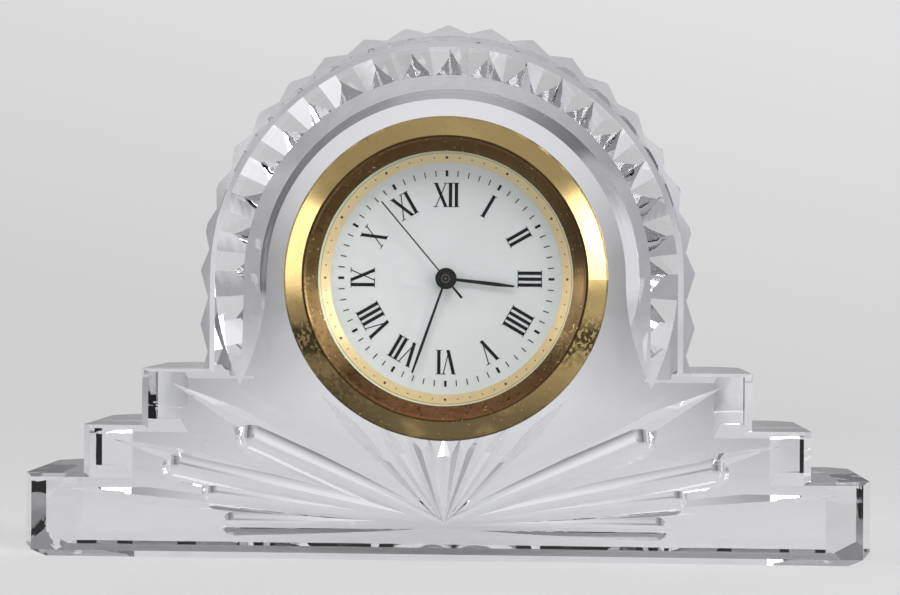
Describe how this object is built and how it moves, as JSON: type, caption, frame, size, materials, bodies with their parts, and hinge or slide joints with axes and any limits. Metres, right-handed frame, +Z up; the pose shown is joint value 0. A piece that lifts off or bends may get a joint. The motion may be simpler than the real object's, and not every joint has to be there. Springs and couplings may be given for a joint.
{
  "type": "desk clock",
  "caption": "Stepped, fan-cut crystal block with a toothed arch, holding a round quartz insert with a brass bezel, white dial with Roman figures and a setting knob at the back.",
  "frame": {"origin": "centre of the crystal's flat base face, on the surface it stands on", "axes": "+Z up, +X to the right and the dial facing -Y as the clock is read"},
  "size_m": [0.1704, 0.0422, 0.1084],
  "materials": {
    "crystal": "cut and polished",
    "brass_bezel": "polished, a little worn",
    "lens_glass": "clear",
    "gasket": "matt",
    "gilt": "satin",
    "dial_white": "satin",
    "ink": "printed",
    "cup_plastic": "moulded",
    "grip_plastic": "moulded",
    "plate_plastic": "moulded",
    "case_plastic": "moulded",
    "steel": "bright",
    "board_green": "lacquered",
    "resin": "cast",
    "copper": "enamelled wire",
    "iron": "stamped",
    "contact_metal": "plated",
    "gear_plastic": "moulded",
    "gear_brass": "turned",
    "magnet": "sintered",
    "hand_black": "satin",
    "knob_plastic": "knurled"
  },
  "bodies": {
    "crystal": {"crystal_body": "crystal"},
    "insert": {"bezel": "brass_bezel", "lens": "lens_glass", "lens_gasket": "gasket", "chapter_ring": "gilt", "dial": "dial_white", "dial_numerals": "ink", "minute_track": "ink", "insert_cup": "cup_plastic", "grip_ring": "grip_plastic", "movement_front_plate": "plate_plastic", "movement_rear_case": "case_plastic", "case_screws": "steel", "circuit_board": "board_green", "chip": "resin", "quartz_can": "steel", "coil": "copper", "coil_core": "iron", "stator": "iron", "battery": "steel", "battery_contact_pos": "contact_metal", "battery_contact_neg": "contact_metal"},
    "hatch": {"battery_cover": "case_plastic"},
    "setting_knob": {"set_knob": "knob_plastic"},
    "minute_arbor": {"cannon_pinion": "gear_brass", "minute_hand": "hand_black"},
    "minute_idler": {"minute_wheel": "gear_plastic"},
    "hour_arbor": {"hour_wheel": "gear_plastic", "hour_hand": "hand_black"},
    "seconds_arbor": {"seconds_wheel": "gear_plastic", "second_hand": "hand_black", "second_hand_hub": "hand_black"},
    "third_arbor": {"third_wheel": "gear_plastic"},
    "centre_arbor": {"centre_wheel": "gear_brass"},
    "intermediate_arbor": {"intermediate_wheel": "gear_plastic"},
    "rotor_arbor": {"rotor": "magnet"}
  },
  "joints": [
    {"name": "insert_pull", "type": "slide", "parent": "crystal", "child": "insert", "axis": [0, -1, 0], "range_m": [0, 0.02]},
    {"name": "battery_cover_pull", "type": "slide", "parent": "insert", "child": "hatch", "axis": [0, 1, 0], "range_m": [0, 0.012]},
    {"name": "minute_spin", "type": "hinge", "parent": "insert", "child": "minute_arbor", "pos_m": [0, -0.019, 0.0569], "axis": [0, 1, 0], "continuous": true},
    {"name": "minute_wheel_spin", "type": "hinge", "parent": "insert", "child": "minute_idler", "pos_m": [-0.00424, -0.019, 0.05266], "axis": [0, 1, 0], "continuous": true},
    {"name": "hour_spin", "type": "hinge", "parent": "insert", "child": "hour_arbor", "pos_m": [0, -0.019, 0.0569], "axis": [0, 1, 0], "continuous": true},
    {"name": "set_knob_spin", "type": "hinge", "parent": "insert", "child": "setting_knob", "pos_m": [-0.00849, -0.019, 0.04841], "axis": [0, 1, 0], "continuous": true},
    {"name": "second_spin", "type": "hinge", "parent": "insert", "child": "seconds_arbor", "pos_m": [0, -0.019, 0.0569], "axis": [0, 1, 0], "continuous": true},
    {"name": "third_wheel_spin", "type": "hinge", "parent": "insert", "child": "third_arbor", "pos_m": [-0.00481, -0.019, 0.06171], "axis": [0, 1, 0], "continuous": true},
    {"name": "centre_wheel_spin", "type": "hinge", "parent": "insert", "child": "centre_arbor", "pos_m": [0, -0.019, 0.0569], "axis": [0, 1, 0], "continuous": true},
    {"name": "intermediate_wheel_spin", "type": "hinge", "parent": "insert", "child": "intermediate_arbor", "pos_m": [0.00677, -0.019, 0.05444], "axis": [0, 1, 0], "continuous": true},
    {"name": "rotor_spin", "type": "hinge", "parent": "insert", "child": "rotor_arbor", "pos_m": [0.00957, -0.019, 0.05929], "axis": [0, 1, 0], "continuous": true}
  ],
  "couplings": [
    {"joint": "minute_wheel_spin", "follows": "minute_spin", "ratio": -0.33333},
    {"joint": "hour_spin", "follows": "minute_spin", "ratio": 0.083333},
    {"joint": "set_knob_spin", "follows": "minute_spin", "ratio": 1},
    {"joint": "third_wheel_spin", "follows": "second_spin", "ratio": -0.13333},
    {"joint": "centre_wheel_spin", "follows": "second_spin", "ratio": 0.016667},
    {"joint": "intermediate_wheel_spin", "follows": "second_spin", "ratio": -5},
    {"joint": "rotor_spin", "follows": "second_spin", "ratio": 30}
  ]
}
